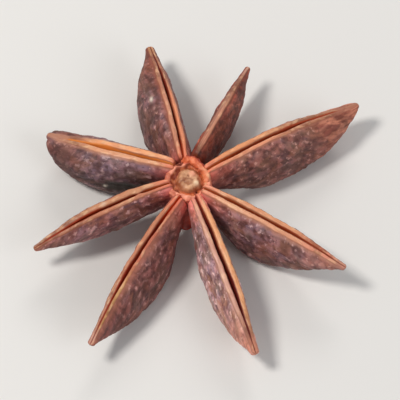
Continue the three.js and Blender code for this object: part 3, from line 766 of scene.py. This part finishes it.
def column_material():
    g = Graph("column_skin")
    tc = g.node("ShaderNodeTexCoord").outputs["Object"]
    keys = ("knob", "knob_rim_shade", "moat", "shade", "front", "shoulder", "under", "pit", "rosy", "knob_painted_glint", "peach", "olive", "tan", "web", "fold")
    knob, knob_rim_shade, moat, shade, front, shoulder, under, pit, rosy, knob_painted_glint, peach, olive, tan, web, fold = (g.attr(k) for k in keys)
    big = g.noise(tc, 700.0, 1.0, 0.5)
    mid = g.noise(tc, 1150.0, 1.2, 0.5)
    fine = g.noise(tc, 2600.0, 2.0, 0.6)
    flesh = g.mix(g.band(mid, 0.36, 0.64), srgb(150, 66, 46), srgb(206, 104, 80))
    col = g.mix(g.band(big, 0.4, 0.62, 0.0, 0.5), flesh, srgb(132, 86, 72))
    col = g.mix(web, col, g.mix(g.band(mid, 0.36, 0.64), srgb(120, 30, 18), srgb(168, 62, 44)))
    knob_col = g.mix(g.band(mid, 0.38, 0.62), srgb(166, 100, 62), srgb(228, 172, 130))
    knob_col = g.mix(g.math("MULTIPLY", olive, 0.85), knob_col, g.mix(g.band(mid, 0.40, 0.62), srgb(148, 86, 50), srgb(184, 124, 84)))
    knob_col = g.mix(g.math("MULTIPLY", tan, 0.80), knob_col, g.mix(g.band(mid, 0.36, 0.60), srgb(206, 150, 112), srgb(236, 180, 140)))
    knob_col = g.mix(g.math("MULTIPLY", peach, 0.85), knob_col, srgb(248, 182, 132))
    knob_col = g.mix(g.math("MULTIPLY", rosy, 0.9), knob_col, srgb(252, 172, 140))
    # painted shade, deep brown, in the knob's hollows
    knob_col = g.mix(g.band(fold, 0.46, 0.14, 0.0, 0.75), knob_col, srgb(126, 64, 32))
    # painted shade darkens the knob towards its rim, where it falls away into the moat
    knob_col = g.mix(g.math("MULTIPLY", knob_rim_shade, 0.75), knob_col, srgb(160, 82, 44))
    # painted glint, near white, on the knob's front right swelling
    knob_col = g.mix(knob_painted_glint, knob_col, srgb(255, 220, 180))
    # painted shade: the moat darker on its left and towards the back
    moat_col = g.mix(shade, srgb(196, 100, 56), srgb(132, 46, 12))
    moat_col = g.mix(g.math("MULTIPLY", front, 0.70), moat_col, srgb(246, 146, 98))
    moat_col = g.mix(g.band(mid, 0.48, 0.64, 0.0, 0.55), moat_col, srgb(214, 128, 80))
    moat_col = g.mix(g.band(mid, 0.46, 0.34, 0.0, 0.60), moat_col, srgb(108, 36, 14))
    col = g.mix(shoulder, col, g.mix(g.band(mid, 0.34, 0.58), srgb(206, 112, 84), srgb(255, 168, 136)))
    col = g.mix(moat, col, moat_col)
    col = g.mix(knob, col, knob_col)
    # painted shade, deep red brown, in the two pits
    col = g.mix(g.band(pit, 0.15, 0.75), col, srgb(92, 30, 12))
    col = g.mix(g.math("MULTIPLY", under, g.band(big, 0.42, 0.6)), col, srgb(156, 118, 90))
    g.link(col, g.bsdf.inputs["Base Color"])
    g.link(g.band(fine, 0.3, 0.7, 0.42, 0.62), g.bsdf.inputs["Roughness"])
    g.bump(fine, 0.4, 0.00006)
    return g.mat


def arc_material():
    g = Graph("joined_feet_skin")
    tc = g.node("ShaderNodeTexCoord").outputs["Object"]
    outer, warm = g.attr("outer"), g.attr("warm")
    mid = g.noise(tc, 900.0, 1.2, 0.5)
    fine = g.noise(tc, 2600.0, 2.0, 0.6)
    coral = g.mix(g.band(mid, 0.36, 0.60), srgb(196, 80, 44), srgb(248, 134, 88))
    peach = g.mix(g.band(mid, 0.34, 0.58), srgb(238, 134, 90), srgb(255, 190, 146))
    col = g.mix(warm, coral, peach)
    col = g.mix(g.math("MULTIPLY", g.band(outer, 0.15, 0.85), g.band(warm, 0.9, 0.2, 0.25, 1.0)), col, srgb(160, 46, 22))
    col = g.mix(g.band(fine, 0.40, 0.28, 0.0, 0.35), col, srgb(150, 60, 34))
    g.link(col, g.bsdf.inputs["Base Color"])
    g.link(g.band(fine, 0.3, 0.7, 0.40, 0.56), g.bsdf.inputs["Roughness"])
    g.bump(fine, 0.4, 0.00006)
    return g.mat


# ---- the pod ----------------------------------------------------------------
def part_of_pod(ob, material):
    ob.data.materials.append(material)
    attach(ob, "root")
    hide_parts("star_anise_pod")


for number, c in enumerate(CARPELS):
    part_of_pod(make_carpel(c, number), carpel_material(c))
part_of_pod(make_column(), column_material())
part_of_pod(make_arc(), arc_material())

# ---- floor, light, camera ---------------------------------------------------
scene = bpy.context.scene


FLOOR_H, FLOOR_GLOW = 0.28, 0.42


def make_floor():
    mesh = bpy.data.meshes.new("floor")
    size = 1.2
    mesh.from_pydata([(-size, -size, 0), (size, -size, 0), (size, size, 0), (-size, size, 0)], [], [(0, 1, 2, 3)])
    ob = bpy.data.objects.new("floor", mesh)
    scene.collection.objects.link(ob)
    g = Graph("floor_paint")
    g.bsdf.inputs["Base Color"].default_value = (0.80, 0.785, 0.76, 1)
    g.bsdf.inputs["Roughness"].default_value = 0.6
    # the lamps stand close to the pod: far from it the floor glows as much as
    # their light falls off, so that it stays pale up to the horizon
    away = g.node("ShaderNodeVectorMath", operation="LENGTH")
    g.link(g.node("ShaderNodeTexCoord").outputs["Object"], away.inputs[0])
    fall = g.math("DIVIDE", FLOOR_H ** 2, g.math("ADD", FLOOR_H ** 2, g.math("POWER", away.outputs["Value"], 2.0)))
    g.link(g.math("MULTIPLY", g.math("SUBTRACT", 1.0, g.math("POWER", fall, 2.0)), FLOOR_GLOW), g.bsdf.inputs["Emission Strength"])
    g.bsdf.inputs["Emission Color"].default_value = (1.0, 0.985, 0.96, 1)
    mesh.materials.append(g.mat)
    return ob


floor = make_floor()
world = bpy.data.worlds.new("studio")
scene.world = world
world.use_nodes = True
world.node_tree.nodes["Background"].inputs[1].default_value = 1.0


def make_sky(nt):
    """Soft light from all round, and as pale as the floor along the horizon."""
    cut = nt.nodes.new("ShaderNodeSeparateXYZ")
    nt.links.new(nt.nodes.new("ShaderNodeTexCoord").outputs["Generated"], cut.inputs[0])
    level = nt.nodes.new("ShaderNodeMath")
    level.operation = "ABSOLUTE"
    nt.links.new(cut.outputs["Z"], level.inputs[0])
    band = nt.nodes.new("ShaderNodeMapRange")
    band.interpolation_type = "SMOOTHSTEP"
    for k, v in enumerate((0.035, 0.11, 1.0, 0.0)):
        band.inputs[k + 1].default_value = v
    nt.links.new(level.outputs[0], band.inputs[0])
    pick = nt.nodes.new("ShaderNodeMix")
    pick.data_type = "RGBA"
    nt.links.new(band.outputs[0], pick.inputs[0])
    pick.inputs[6].default_value = (0.285, 0.291, 0.30, 1)
    pick.inputs[7].default_value = (0.69, 0.68, 0.66, 1)
    nt.links.new(pick.outputs[2], nt.nodes["Background"].inputs[0])


make_sky(world.node_tree)

TARGET = Vector((0.0, 0.0, 0.0045))


def area(name, where, size, power, colour=(1, 1, 1)):
    light = bpy.data.lights.new(name, "AREA")
    light.shape = "DISK"
    light.size = size
    light.energy = power
    light.color = colour
    ob = bpy.data.objects.new(name, light)
    ob.location = where
    ob.rotation_mode = "QUATERNION"
    ob.rotation_quaternion = (TARGET - Vector(where)).to_track_quat("-Z", "Y")
    scene.collection.objects.link(ob)
    return ob


area("key", (-0.17, -0.02, 0.30), 0.09, 0.68, (1.0, 0.97, 0.93))
area("fill", (0.24, -0.16, 0.20), 0.20, 0.25, (0.95, 0.97, 1.0))
area("rim", (0.05, 0.26, 0.18), 0.12, 0.20, (1.0, 0.98, 0.95))

# The camera looks at the middle of the pod, from 60 degrees above its plane.
FIELD, DISTANCE = 0.044, 0.5
cam_data = bpy.data.cameras.new("camera")
cam_data.sensor_width = 36
cam_data.lens = 36 * DISTANCE / FIELD
cam = bpy.data.objects.new("camera", cam_data)
scene.collection.objects.link(cam)
scene.camera = cam
elevation = math.radians(60)
back = Vector((0, -math.cos(elevation), math.sin(elevation)))
look = Vector((AXIS_X + 1.3, AXIS_Y - 2.165, 5.75)) * MM
cam.location = look + back * DISTANCE
cam.rotation_mode = "QUATERNION"
cam.rotation_quaternion = back.to_track_quat("Z", "Y")
cam_data.clip_start = 0.005
cam_data.clip_end = 10

scene.view_settings.view_transform = "Standard"
scene.view_settings.look = "None"
